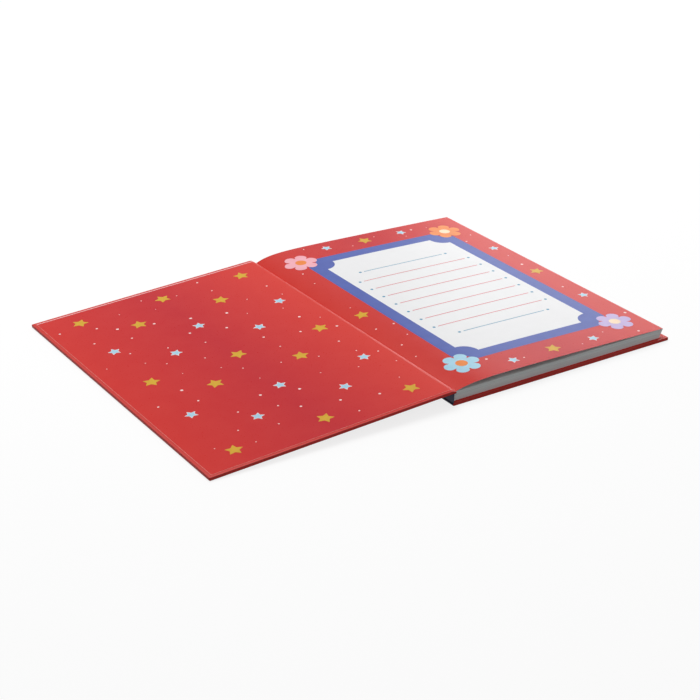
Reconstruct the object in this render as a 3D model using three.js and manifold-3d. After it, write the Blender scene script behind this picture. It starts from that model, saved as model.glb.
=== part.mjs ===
// A thin case-bound picture book, lying open at its front endpapers.
// Millimetres, +Z up. +X runs from the spine to the fore-edge of the pages and +Y from tail to head.
// The back cover lies flat, the pages lie on it, and the open front cover slopes down to the surface.
// Inside the model x = 0 is the glued back of the pages and y = 0 is the middle of their height.

import * as THREE from 'three';
import { mergeVertices } from 'three/addons/utils/BufferGeometryUtils.js';
import Module from 'manifold-3d';

const wasm = await Module();
wasm.setup();

// Pages
const PAGE_HEIGHT = 297;
const PAGE_WIDTH = 203;
const BLOCK_THICKNESS = 7.15;
const FORE_EDGE_LEAN = 3.7;
const SHOULDER_RADIUS = 1.2;

// Covers. Reach is the distance from the back of the pages to a closed cover's fore-edge.
const COVER_REACH = 211;
const HEAD_SQUARE = 3;
const BOARD_THICKNESS = 2.2;
const WRAP_THICKNESS = 0.15;
const GLUE_LINE = 0.05;
const TURN_IN = 15;
const TURN_IN_DEPTH = 0.2;
const CORNER_RADIUS = 1.2;

// Endpapers. The pastedown stops short of the cover's fore-edge by its inset.
const ENDPAPER_THICKNESS = 0.15;
const PASTEDOWN_INSET = 3;
const LEAF_GAP = 0.1;
const GUTTER = 1;

// The open flyleaf arches off the pages, higher at the head than at the tail.
const ARCH_RISE_AT_TAIL = 4.65;
const ARCH_RISE_AT_HEAD = 5.8;
const ARCH_SPRING_AT_TAIL = 16;
const ARCH_SPRING_AT_HEAD = 13;
const ARCH_FALL_POWER = 1.3;

// The front board's spine edge is rounded off under the endpaper, from the joint to the flat.
const FRONT_BEVEL_START = 0.5;
const FRONT_BEVEL_END = 4.7;

// Spine panel, with a hollow between it and the back of the pages
const SPINE_OUTER_FACE = -3.95;
const SPINE_CARD_THICKNESS = 0.6;
const JOINT_CLEARANCE = 0.3;

// Linings and the cloth bands at head and tail
const LINING_THICKNESS = 0.2;
const BAND_DEPTH = 10;
const BAND_TAPE_THICKNESS = 0.3;
const BEAD_RADIUS = 0.6;
const BEAD_PROUD = 0.2;
const BEAD_BELOW_TOP = 0.3;

// Facets
const NOSE_STEPS = 10;
const SHOULDER_STEPS = 5;
const BEAD_SIDES = 14;
const ARCH_STEPS = 30;
const ARCH_ROWS = 6;

// Levels and places that follow from the sizes
const coverThickness = WRAP_THICKNESS + GLUE_LINE + BOARD_THICKNESS + GLUE_LINE + ENDPAPER_THICKNESS;
const halfCover = coverThickness / 2;
const halfPage = PAGE_HEIGHT / 2;
const halfHeight = halfPage + HEAD_SQUARE;
const blockBottom = coverThickness + LEAF_GAP + ENDPAPER_THICKNESS;
const blockTop = blockBottom + BLOCK_THICKNESS;
const flyleafLevel = blockTop + LEAF_GAP;
const flyleafEnd = PAGE_WIDTH + FORE_EDGE_LEAN;

// Each cover turns on the middle of its own thickness: the back one at its rounded spine edge,
// the front one above the back of the pages, so that it closes flat on the flyleaf.
const backHinge = new THREE.Vector3(SPINE_OUTER_FACE + halfCover, 0, halfCover);
const frontHinge = new THREE.Vector3(0, 0, flyleafLevel + ENDPAPER_THICKNESS + LEAF_GAP + halfCover);

// Open, the front cover's outer fore-edge corner rests on the surface.
const frontSlope = Math.asin(frontHinge.z / Math.hypot(COVER_REACH, halfCover))
  - Math.atan2(halfCover, COVER_REACH);
const wrapTop = halfCover - ENDPAPER_THICKNESS - GLUE_LINE;
const openReach = COVER_REACH * Math.cos(frontSlope) + wrapTop * Math.sin(frontSlope);
const midLength = (COVER_REACH - openReach) / 2;

const spineFoot = coverThickness + LEAF_GAP;
const spineHead = frontHinge.z - halfCover + SPINE_OUTER_FACE * Math.tan(frontSlope) - JOINT_CLEARANCE;

// Finishes
const red = new THREE.Color(0.62, 0.06, 0.05);
const navy = new THREE.Color(0.012, 0.016, 0.035);
const pageEdge = new THREE.Color(0.6, 0.59, 0.57);
const greyboard = new THREE.Color(0.32, 0.3, 0.27);
const cloth = new THREE.Color(0.75, 0.74, 0.72);

function finish(color, roughness) {
  return new THREE.MeshStandardMaterial({ color, roughness, metalness: 0 });
}

// Solids: closed geometry to and from a manifold

function toSolid(geometry) {
  const bare = geometry.clone();
  bare.deleteAttribute('normal');
  bare.deleteAttribute('uv');
  const merged = mergeVertices(bare, 1e-5);
  const vertProperties = new Float32Array(merged.attributes.position.array);
  const triVerts = new Uint32Array(merged.index.array);
  return new wasm.Manifold(new wasm.Mesh({ numProp: 3, vertProperties, triVerts }));
}

function toGeometry(solid) {
  const mesh = solid.getMesh();
  const geometry = new THREE.BufferGeometry();
  geometry.setAttribute('position', new THREE.BufferAttribute(new Float32Array(mesh.vertProperties), 3));
  geometry.setIndex(new THREE.BufferAttribute(new Uint32Array(mesh.triVerts), 1));
  return geometry;
}

// A section drawn in x and z, drawn out along y over the height, centred on y = 0
function prism(points, height) {
  const shape = new THREE.Shape(points.map(([x, z]) => new THREE.Vector2(x, z)));
  const geometry = new THREE.ExtrudeGeometry(shape, { depth: height, bevelEnabled: false });
  geometry.rotateX(Math.PI / 2);
  geometry.translate(0, height / 2, 0);
  return geometry;
}

// A box from its two limits along each axis
function block([x0, x1], [y0, y1], [z0, z1]) {
  const geometry = new THREE.BoxGeometry(x1 - x0, y1 - y0, z1 - z0);
  geometry.translate((x0 + x1) / 2, (y0 + y1) / 2, (z0 + z1) / 2);
  return geometry;
}

// Points along an arc of an ellipse about a centre, from one angle to another
function arc(centreX, centreZ, radiusX, radiusZ, from, to, steps) {
  return Array.from({ length: steps + 1 }, (_, step) => {
    const angle = from + ((to - from) * step) / steps;
    return [centreX + radiusX * Math.cos(angle), centreZ + radiusZ * Math.sin(angle)];
  });
}

// Covers. A cover is built with its hinge axis on the y axis, its fore-edge at +x and its inner face up.
// A nose gives the spine edge of a layer as points from its upper face round to its lower face.

function roundNose(inset) {
  const radius = halfCover - inset;
  return (low, high) => {
    const from = Math.PI - Math.asin(Math.min(1, high / radius));
    return arc(0, 0, radius, radius, from, Math.PI * 1.5, NOSE_STEPS);
  };
}

function bevelCurve(inset, low) {
  const radiusX = FRONT_BEVEL_END - FRONT_BEVEL_START - inset;
  const radiusZ = coverThickness - inset;
  const end = Math.PI - Math.asin((low + halfCover) / radiusZ);
  return arc(FRONT_BEVEL_END, -halfCover, radiusX, radiusZ, Math.PI / 2, end, NOSE_STEPS);
}

function bevelNose(inset) {
  return (low) => bevelCurve(inset, low);
}

// A layer of a cover between two levels, with rounded fore-edge corners
function layer(nose, reach, low, high, inset) {
  const end = reach - inset;
  const half = halfHeight - inset;
  const radius = CORNER_RADIUS - inset;
  const section = [[end, low], [end, high], ...nose(low, high)];
  const outline = new THREE.Shape();
  outline.moveTo(-coverThickness, -half);
  outline.lineTo(end - radius, -half);
  outline.absarc(end - radius, -half + radius, radius, -Math.PI / 2, 0);
  outline.lineTo(end, half - radius);
  outline.absarc(end - radius, half - radius, radius, 0, Math.PI / 2);
  outline.lineTo(-coverThickness, half);
  const plan = new THREE.ExtrudeGeometry(outline, {
    depth: 2 * coverThickness,
    bevelEnabled: false,
    curveSegments: 5,
  });
  plan.translate(0, 0, -coverThickness);
  return toSolid(prism(section, 2 * half)).intersect(toSolid(plan));
}

// The part of a cover that the turned-in edges of the wrap leave free
function insideTurnIn(reach, margin, low, high) {
  const half = halfHeight - TURN_IN + margin;
  return toSolid(block([-2 * coverThickness, reach - TURN_IN + margin], [-half, half], [low, high]));
}

// Greyboard, pressed in by the thickness of the turn-in along three edges
function makeBoard(noseAt, noseDrop, reach) {
  const shell = WRAP_THICKNESS + GLUE_LINE;
  const low = -halfCover + shell;
  const high = halfCover - ENDPAPER_THICKNESS - GLUE_LINE;
  const rim = layer(noseAt(shell + noseDrop), reach, low, high - TURN_IN_DEPTH, shell);
  const full = layer(noseAt(shell), reach, low, high, shell);
  return rim.add(full.intersect(insideTurnIn(reach, -GLUE_LINE, -coverThickness, coverThickness)));
}

// Printed paper over the outer face, turned over the edges and onto the inner face
function makeWrap(outerNose, innerNose, reach, windowLow) {
  const high = halfCover - ENDPAPER_THICKNESS - GLUE_LINE;
  const outer = layer(outerNose, reach, -halfCover, high, 0);
  const inner = layer(innerNose, reach, -halfCover + WRAP_THICKNESS, high - WRAP_THICKNESS, WRAP_THICKNESS);
  return outer.subtract(inner).subtract(insideTurnIn(reach, 0, windowLow, coverThickness));
}

function makeFrontPastedown(reach) {
  const end = reach - PASTEDOWN_INSET;
  const low = -halfCover + WRAP_THICKNESS + GLUE_LINE;
  const under = bevelCurve(ENDPAPER_THICKNESS, low).reverse();
  const section = [
    [end, halfCover - ENDPAPER_THICKNESS],
    [end, halfCover],
    ...bevelCurve(0, low),
    ...under,
  ];
  return prism(section, PAGE_HEIGHT);
}

function makeBackPastedown(reach) {
  const start = GUTTER - backHinge.x;
  const surface = [halfCover - ENDPAPER_THICKNESS, halfCover];
  return block([start, reach - PASTEDOWN_INSET], [-halfPage, halfPage], surface);
}

function makeFrontCover() {
  const reach = COVER_REACH;
  const buried = ENDPAPER_THICKNESS + GLUE_LINE;
  const cover = new THREE.Group();
  const board = makeBoard(bevelNose, TURN_IN_DEPTH, reach);
  const outerNose = bevelNose(buried);
  const innerNose = bevelNose(buried + WRAP_THICKNESS);
  const wrap = makeWrap(outerNose, innerNose, reach, -halfCover + WRAP_THICKNESS);
  addPiece(cover, 'front_board', toGeometry(board), finish(greyboard, 0.9));
  addPiece(cover, 'front_wrap', toGeometry(wrap), finish(red, 0.35));
  addPiece(cover, 'front_pastedown', makeFrontPastedown(reach), finish(red, 0.4));
  cover.position.copy(frontHinge);
  cover.rotation.set(0, -frontSlope, Math.PI);
  return cover;
}

function makeBackCover() {
  const reach = COVER_REACH - backHinge.x;
  const cover = new THREE.Group();
  const board = makeBoard(roundNose, 0, reach);
  const wrap = makeWrap(roundNose(0), roundNose(WRAP_THICKNESS), reach, wrapTop - TURN_IN_DEPTH);
  addPiece(cover, 'back_board', toGeometry(board), finish(greyboard, 0.9));
  addPiece(cover, 'back_wrap', toGeometry(wrap), finish(red, 0.35));
  addPiece(cover, 'back_pastedown', makeBackPastedown(reach), finish(red, 0.4));
  cover.position.copy(backHinge);
  return cover;
}

// Pages: one solid, leaning at the fore-edge, with a rounded shoulder where the front cover hinges
function makeTextBlock() {
  const shoulder = arc(SHOULDER_RADIUS, blockTop - SHOULDER_RADIUS, SHOULDER_RADIUS, SHOULDER_RADIUS,
    Math.PI / 2, Math.PI, SHOULDER_STEPS);
  const section = [[0, blockBottom], [PAGE_WIDTH, blockBottom], [flyleafEnd, blockTop], ...shoulder];
  return prism(section, PAGE_HEIGHT);
}

// Height of the open flyleaf above its resting level
function archRise(x, y) {
  const towardsHead = (y + halfPage) / PAGE_HEIGHT;
  const rise = THREE.MathUtils.lerp(ARCH_RISE_AT_TAIL, ARCH_RISE_AT_HEAD, towardsHead);
  const spring = THREE.MathUtils.lerp(ARCH_SPRING_AT_TAIL, ARCH_SPRING_AT_HEAD, towardsHead);
  const along = (x - GUTTER) / (flyleafEnd - GUTTER);
  return rise * (1 - Math.exp((GUTTER - x) / spring)) * (1 - along ** ARCH_FALL_POWER);
}

// The arched flyleaf: a box of fine columns whose vertices are lifted onto the arch
function makeFrontFlyleaf() {
  const width = flyleafEnd - GUTTER;
  const geometry = new THREE.BoxGeometry(width, PAGE_HEIGHT, ENDPAPER_THICKNESS, ARCH_STEPS, ARCH_ROWS, 1);
  geometry.translate(GUTTER + width / 2, 0, flyleafLevel + ENDPAPER_THICKNESS / 2);
  const position = geometry.attributes.position;
  for (let index = 0; index < position.count; index += 1) {
    const along = (position.getX(index) - GUTTER) / width;
    const x = GUTTER + width * along ** 2;
    const y = position.getY(index);
    position.setX(index, x);
    position.setZ(index, position.getZ(index) + archRise(x, y));
  }
  return geometry;
}

function makeBackFlyleaf() {
  return block([GUTTER, PAGE_WIDTH], [-halfPage, halfPage], [blockBottom - ENDPAPER_THICKNESS, blockBottom]);
}

// Gauze and lining paper glued to the back of the pages between the two bands
function makeLining(order) {
  const face = -GLUE_LINE - order * (LINING_THICKNESS + GLUE_LINE);
  const half = halfPage - BAND_DEPTH - GLUE_LINE;
  return block([face - LINING_THICKNESS, face], [-half, half], [blockBottom, blockTop - BEAD_BELOW_TOP]);
}

// Cloth band at one end of the back of the pages: a flat tape with a round bead along the page edge
function makeBand(end) {
  const height = blockTop - BEAD_BELOW_TOP - blockBottom;
  const edge = end * (halfPage + BEAD_PROUD);
  const tapeEnds = [end * (halfPage - BAND_DEPTH), edge].sort((a, b) => a - b);
  const tapeFaces = [-GLUE_LINE - BAND_TAPE_THICKNESS, -GLUE_LINE];
  const tape = block(tapeFaces, tapeEnds, [blockBottom, blockBottom + height]);
  const bead = new THREE.CylinderGeometry(BEAD_RADIUS, BEAD_RADIUS, height, BEAD_SIDES);
  bead.rotateX(Math.PI / 2);
  bead.translate(-GLUE_LINE - BEAD_RADIUS, edge, blockBottom + height / 2);
  return toGeometry(toSolid(tape).add(toSolid(bead)));
}

// Spine panel: a card in a wrap that is turned in at head and tail and runs on to both shoulders

const cardOuter = SPINE_OUTER_FACE + WRAP_THICKNESS + GLUE_LINE;
const cardInner = cardOuter + SPINE_CARD_THICKNESS;

function makeSpineCard() {
  const margin = WRAP_THICKNESS + GLUE_LINE;
  const half = halfHeight - margin;
  return block([cardOuter, cardInner], [-half, half], [spineFoot + margin, spineHead - margin]);
}

function makeSpineWrap() {
  const innerFace = cardInner + GLUE_LINE;
  const half = halfHeight - WRAP_THICKNESS;
  const foot = spineFoot + WRAP_THICKNESS;
  const head = spineHead - WRAP_THICKNESS;
  const turned = halfHeight - TURN_IN;
  const flangeEnd = GUTTER - LEAF_GAP;
  const flangeTop = flyleafLevel + ENDPAPER_THICKNESS;
  const outerFaces = [SPINE_OUTER_FACE, innerFace + WRAP_THICKNESS];
  const outer = block(outerFaces, [-halfHeight, halfHeight], [spineFoot, spineHead]);
  const inner = block([SPINE_OUTER_FACE + WRAP_THICKNESS, innerFace], [-half, half], [foot, head]);
  const window = block([innerFace - GLUE_LINE, 0], [-turned, turned], [foot, head]);
  const frontJoint = prism([
    [SPINE_OUTER_FACE, head],
    [flangeEnd, flangeTop - WRAP_THICKNESS],
    [flangeEnd, flangeTop],
    [SPINE_OUTER_FACE, spineHead],
  ], 2 * halfHeight);
  const backJoint = block([SPINE_OUTER_FACE, flangeEnd], [-halfHeight, halfHeight], [spineFoot, foot]);
  return toSolid(outer).subtract(toSolid(inner)).subtract(toSolid(window))
    .add(toSolid(frontJoint)).add(toSolid(backJoint));
}

// Assembly

function addPiece(group, name, geometry, material) {
  const mesh = new THREE.Mesh(geometry, material);
  mesh.name = name;
  group.add(mesh);
}

const pages = new THREE.Group();
addPiece(pages, 'text_block', makeTextBlock(), finish(pageEdge, 0.85));
addPiece(pages, 'front_flyleaf', makeFrontFlyleaf(), finish(red, 0.4));
addPiece(pages, 'back_flyleaf', makeBackFlyleaf(), finish(red, 0.4));
addPiece(pages, 'spine_gauze', makeLining(0), finish(cloth, 0.95));
addPiece(pages, 'spine_lining', makeLining(1), finish(cloth, 0.9));
addPiece(pages, 'head_band', makeBand(1), finish(cloth, 0.9));
addPiece(pages, 'tail_band', makeBand(-1), finish(cloth, 0.9));

const spine = new THREE.Group();
addPiece(spine, 'spine_card', makeSpineCard(), finish(greyboard, 0.9));
addPiece(spine, 'spine_wrap', toGeometry(makeSpineWrap()), finish(navy, 0.4));

// The origin is on the surface under the middle of the open book's length.
const book = new THREE.Group();
book.add(pages, spine, makeFrontCover(), makeBackCover());
book.position.x = -midLength;

const model = new THREE.Group();
model.add(book);

export default model;
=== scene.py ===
import logging
import math
from collections.abc import Callable, Sequence
from dataclasses import dataclass
from enum import Enum

import bpy
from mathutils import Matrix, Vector

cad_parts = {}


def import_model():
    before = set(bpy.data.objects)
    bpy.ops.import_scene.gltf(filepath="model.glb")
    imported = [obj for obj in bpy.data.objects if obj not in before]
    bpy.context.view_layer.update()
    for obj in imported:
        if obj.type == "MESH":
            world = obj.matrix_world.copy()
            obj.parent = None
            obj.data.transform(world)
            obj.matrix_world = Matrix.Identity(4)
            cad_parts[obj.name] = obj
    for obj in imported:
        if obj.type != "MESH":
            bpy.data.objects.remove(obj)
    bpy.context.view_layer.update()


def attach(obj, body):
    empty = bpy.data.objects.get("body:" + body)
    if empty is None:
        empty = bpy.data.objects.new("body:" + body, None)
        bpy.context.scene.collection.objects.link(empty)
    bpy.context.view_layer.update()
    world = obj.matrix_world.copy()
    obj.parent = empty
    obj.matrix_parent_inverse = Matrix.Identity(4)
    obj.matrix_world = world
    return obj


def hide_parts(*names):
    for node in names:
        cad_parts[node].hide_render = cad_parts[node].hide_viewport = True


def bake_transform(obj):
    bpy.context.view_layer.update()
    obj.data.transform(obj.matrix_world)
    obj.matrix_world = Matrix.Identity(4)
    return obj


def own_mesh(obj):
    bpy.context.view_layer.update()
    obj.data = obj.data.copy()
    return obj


LOG = logging.getLogger("picture_book")
MM = 0.001
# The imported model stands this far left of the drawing, because its box was centred.
ROW_SHIFT = -0.10005
# Half of the pages' and endpapers' height, and half of the covers' height.
PAGE_HALF = 148.5
COVER_HALF = 151.5
# What the turned-in wraps, the covers' edges and their corners share.
TURN_IN = 15.0
WRAP_SHEET = 0.15
EDGE_ROUND = 0.35
CORNER_ROUND = 1.0
# How thick the pasted endpapers are with the paste under them.
PASTED_SHEET = 0.19

Colour = tuple[float, float, float, float]


def tone(red: int, green: int, blue: int) -> Colour:
    """Turn a display colour into the linear colour that a shader socket wants.

    Args:
        red: Red from 0 to 255.
        green: Green from 0 to 255.
        blue: Blue from 0 to 255.

    Returns:
        The linear colour with full alpha.
    """
    parts = []
    for value in (red, green, blue):
        share = value / 255
        if share <= 0.04045:
            parts.append(share / 12.92)
        else:
            parts.append(((share + 0.055) / 1.055) ** 2.4)
    return (parts[0], parts[1], parts[2], 1.0)


def spot(x: float, y: float, z: float) -> Vector:
    """Turn a place given in millimetres into metres.

    Args:
        x: Across the open book.
        y: Towards the head of the pages.
        z: Above the surface that the book lies on.

    Returns:
        The same place in metres.
    """
    return Vector((x * MM, y * MM, z * MM))


def drift(step: int) -> tuple[float, float, float]:
    """Give three shares from 0 to 1 that spread evenly over many steps, alike in every run.

    Args:
        step: The step's number.

    Returns:
        The three shares.
    """
    return (step * 0.7548776662 % 1.0, step * 0.5698402910 % 1.0, step * 0.3819660113 % 1.0)


class Bench:
    """The modelling bench: every hand operation that the pieces are made with."""

    @staticmethod
    def clear() -> None:
        """Leave edit mode and let go of everything."""
        held = bpy.context.view_layer.objects.active
        if held is not None and held.mode != "OBJECT":
            bpy.ops.object.mode_set(mode="OBJECT")
        bpy.ops.object.select_all(action="DESELECT")

    @staticmethod
    def take(piece: bpy.types.Object) -> None:
        """Select one piece and make it the active one."""
        Bench.clear()
        piece.select_set(True)
        bpy.context.view_layer.objects.active = piece

    @staticmethod
    def open(piece: bpy.types.Object, kind: str = "VERT") -> None:
        """Take one piece into edit mode.

        Args:
            piece: The piece to work on.
            kind: What is picked there, VERT, EDGE or FACE.
        """
        Bench.take(piece)
        modes = (kind == "VERT", kind == "EDGE", kind == "FACE")
        bpy.context.tool_settings.mesh_select_mode = modes
        bpy.ops.object.mode_set(mode="EDIT")

    @staticmethod
    def close() -> None:
        """Leave edit mode."""
        bpy.ops.object.mode_set(mode="OBJECT")

    @staticmethod
    def pick_vertices(piece: bpy.types.Object, test: Callable[[Vector], bool]) -> None:
        """Go into edit mode with the vertices that pass a test picked.

        Args:
            piece: The piece to work on.
            test: Tells from a vertex's place whether it is wanted.
        """
        Bench.take(piece)
        mesh = piece.data
        mesh.polygons.foreach_set("select", [False] * len(mesh.polygons))
        mesh.edges.foreach_set("select", [False] * len(mesh.edges))
        mesh.vertices.foreach_set("select", [test(vertex.co) for vertex in mesh.vertices])
        bpy.context.tool_settings.mesh_select_mode = (True, False, False)
        bpy.ops.object.mode_set(mode="EDIT")

    @staticmethod
    def pick_edges(piece: bpy.types.Object, test: Callable[[Vector, Vector], bool]) -> None:
        """Go into edit mode with the edges that pass a test picked.

        Args:
            piece: The piece to work on.
            test: Tells from an edge's two ends whether it is wanted.
        """
        Bench.take(piece)
        mesh = piece.data
        mesh.polygons.foreach_set("select", [False] * len(mesh.polygons))
        mesh.vertices.foreach_set("select", [False] * len(mesh.vertices))
        places = [vertex.co.copy() for vertex in mesh.vertices]
        wanted = [test(places[edge.vertices[0]], places[edge.vertices[1]]) for edge in mesh.edges]
        mesh.edges.foreach_set("select", wanted)
        bpy.context.tool_settings.mesh_select_mode = (False, True, False)
        bpy.ops.object.mode_set(mode="EDIT")

    @staticmethod
    def pick_faces(piece: bpy.types.Object, test: Callable[[Vector, Vector], bool]) -> None:
        """Go into edit mode with the faces that pass a test picked.

        Args:
            piece: The piece to work on.
            test: Tells from a face's middle and normal whether it is wanted.
        """
        Bench.take(piece)
        mesh = piece.data
        mesh.vertices.foreach_set("select", [False] * len(mesh.vertices))
        mesh.edges.foreach_set("select", [False] * len(mesh.edges))
        wanted = [test(face.center.copy(), face.normal.copy()) for face in mesh.polygons]
        mesh.polygons.foreach_set("select", wanted)
        bpy.context.tool_settings.mesh_select_mode = (False, False, True)
        bpy.ops.object.mode_set(mode="EDIT")

    @staticmethod
    def chain(name: str, points: Sequence[Vector]) -> bpy.types.Object:
        """Draw a chain of edges, one extruded vertex after another.

        Args:
            name: The new piece's name.
            points: The places that the chain goes through.

        Returns:
            The new piece, in edit mode with its last vertex picked.
        """
        Bench.clear()
        bpy.ops.mesh.primitive_plane_add(size=0.001, location=(0.0, 0.0, 0.0))
        piece = bpy.context.object
        piece.name = name
        piece.data.name = name
        Bench.open(piece)
        bpy.ops.mesh.select_all(action="SELECT")
        bpy.ops.mesh.merge(type="CENTER")
        bpy.ops.transform.translate(value=points[0])
        for before, after in zip(points, points[1:]):
            bpy.ops.mesh.extrude_vertices_move(TRANSFORM_OT_translate={"value": after - before})
        return piece

    @staticmethod
    def pull(piece: bpy.types.Object, moves: Sequence[Vector]) -> None:
        """Extrude the whole open chain or outline, once for every move.

        Args:
            piece: The piece, in edit mode.
            moves: The extrusions, one after another.
        """
        bpy.ops.mesh.select_all(action="SELECT")
        for move in moves:
            bpy.ops.mesh.extrude_region_move(TRANSFORM_OT_translate={"value": move})

    @staticmethod
    def outline(name: str, points: Sequence[Vector]) -> bpy.types.Object:
        """Draw a closed outline and fill it with one face.

        Args:
            name: The new piece's name.
            points: The corners in order.

        Returns:
            The new piece, in edit mode.
        """
        piece = Bench.chain(name, points)
        bpy.ops.mesh.select_all(action="SELECT")
        bpy.ops.mesh.edge_face_add()
        return piece

    @staticmethod
    def prism(name: str, points: Sequence[Vector], length: float) -> bpy.types.Object:
        """Draw a closed outline and pull it into a closed body along the pages.

        Args:
            name: The new piece's name.
            points: The outline's corners in order.
            length: How far it is pulled towards the head, in millimetres.

        Returns:
            The new piece.
        """
        piece = Bench.outline(name, points)
        Bench.pull(piece, [spot(0.0, length, 0.0)])
        Bench.tidy_normals()
        Bench.close()
        return piece

    @staticmethod
    def sheet(
        name: str,
        points: Sequence[Vector],
        stops: Sequence[float],
        thickness: float,
    ) -> bpy.types.Object:
        """Draw a profile, pull it along the pages and thicken it downwards.

        Args:
            name: The new piece's name.
            points: The profile of its upper face, at the tail.
            stops: Where along the pages it has a row of vertices, from the tail.
            thickness: The sheet's thickness in millimetres.

        Returns:
            The new piece.
        """
        piece = Bench.chain(name, points)
        Bench.pull(piece, [spot(0.0, after - before, 0.0) for before, after in zip(stops, stops[1:])])
        Bench.close()
        Bench.face_up(piece)
        Bench.modify(piece, "SOLIDIFY", thickness=thickness * MM, offset=-1.0)
        return piece

    @staticmethod
    def face_up(piece: bpy.types.Object) -> None:
        """Turn an open sheet over if its faces look down."""
        lift = sum(face.normal.z * face.area for face in piece.data.polygons)
        if lift < 0:
            Bench.open(piece, "FACE")
            bpy.ops.mesh.select_all(action="SELECT")
            bpy.ops.mesh.flip_normals()
            Bench.close()

    @staticmethod
    def round_edges(
        piece: bpy.types.Object,
        test: Callable[[Vector, Vector], bool],
        radius: float,
        segments: int,
    ) -> None:
        """Round the edges that pass a test.

        Args:
            piece: The piece to work on.
            test: Tells from an edge's two ends whether it is wanted.
            radius: The rounding's radius in millimetres.
            segments: How many flat steps the rounding has.
        """
        Bench.pick_edges(piece, test)
        bpy.ops.mesh.bevel(offset=radius * MM, segments=segments, affect="EDGES")
        Bench.close()

    @staticmethod
    def cut(places: Sequence[Vector], normal: Vector) -> None:
        """Bisect all of the piece in edit mode by parallel planes.

        Args:
            places: A point on every plane.
            normal: The normal that the planes share.
        """
        for place in places:
            bpy.ops.mesh.select_all(action="SELECT")
            bpy.ops.mesh.bisect(plane_co=place, plane_no=normal)

    @staticmethod
    def tidy_normals() -> None:
        """Merge doubles and turn every face outwards, in edit mode."""
        bpy.ops.mesh.select_all(action="SELECT")
        bpy.ops.mesh.remove_doubles(threshold=0.000001)
        bpy.ops.mesh.normals_make_consistent(inside=False)

    @staticmethod
    def modify(piece: bpy.types.Object, kind: str, **settings: object) -> None:
        """Add a modifier with its settings and apply it.

        Args:
            piece: The piece to finish.
            kind: The modifier's type.
            settings: The modifier's settings by name.
        """
        Bench.take(piece)
        modifier = piece.modifiers.new(kind.title(), kind)
        for key, value in settings.items():
            setattr(modifier, key, value)
        bpy.ops.object.modifier_apply(modifier=modifier.name)

    @staticmethod
    def settle(
        piece: bpy.types.Object,
        place: Vector | None = None,
        turn: tuple[float, float, float] = (0.0, 0.0, 0.0),
    ) -> None:
        """Put a piece in its place and apply that place to its mesh.

        Args:
            piece: The piece to place.
            place: Where it goes, in metres.
            turn: Its rotation in radians.
        """
        Bench.take(piece)
        if place is not None:
            piece.location = place
        piece.rotation_euler = turn
        bpy.ops.object.transform_apply(location=True, rotation=True, scale=True)

    @staticmethod
    def twin(piece: bpy.types.Object, name: str) -> bpy.types.Object:
        """Copy a piece together with its mesh.

        Args:
            piece: The piece to copy.
            name: The copy's name.

        Returns:
            The copy.
        """
        Bench.take(piece)
        bpy.ops.object.duplicate()
        copy = bpy.context.object
        copy.name = name
        copy.data.name = name
        return copy

    @staticmethod
    def gather(name: str, parts: Sequence[bpy.types.Object]) -> bpy.types.Object:
        """Join several pieces into one.

        Args:
            name: The joined piece's name.
            parts: The pieces, each with its own material.

        Returns:
            The joined piece.
        """
        Bench.clear()
        for part in parts:
            part.select_set(True)
        bpy.context.view_layer.objects.active = parts[0]
        bpy.ops.object.join()
        piece = bpy.context.object
        piece.name = name
        piece.data.name = name
        return piece

    @staticmethod
    def soften(piece: bpy.types.Object, degrees: float = 35.0) -> None:
        """Shade a piece smooth across its shallow edges."""
        Bench.take(piece)
        bpy.ops.object.shade_smooth_by_angle(angle=math.radians(degrees))

    @staticmethod
    def dress(piece: bpy.types.Object, *materials: bpy.types.Material) -> None:
        """Give a piece its materials in slot order."""
        piece.data.materials.clear()
        for material in materials:
            piece.data.materials.append(material)

    @staticmethod
    def paint(
        piece: bpy.types.Object,
        index: int,
        test: Callable[[Vector, Vector], bool],
    ) -> None:
        """Give the faces that pass a test another of the piece's materials.

        Args:
            piece: The piece to paint.
            index: The material slot.
            test: Tells from a face's middle and normal whether it is wanted.
        """
        Bench.pick_faces(piece, test)
        piece.active_material_index = index
        bpy.ops.object.material_slot_assign()
        Bench.close()


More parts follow.
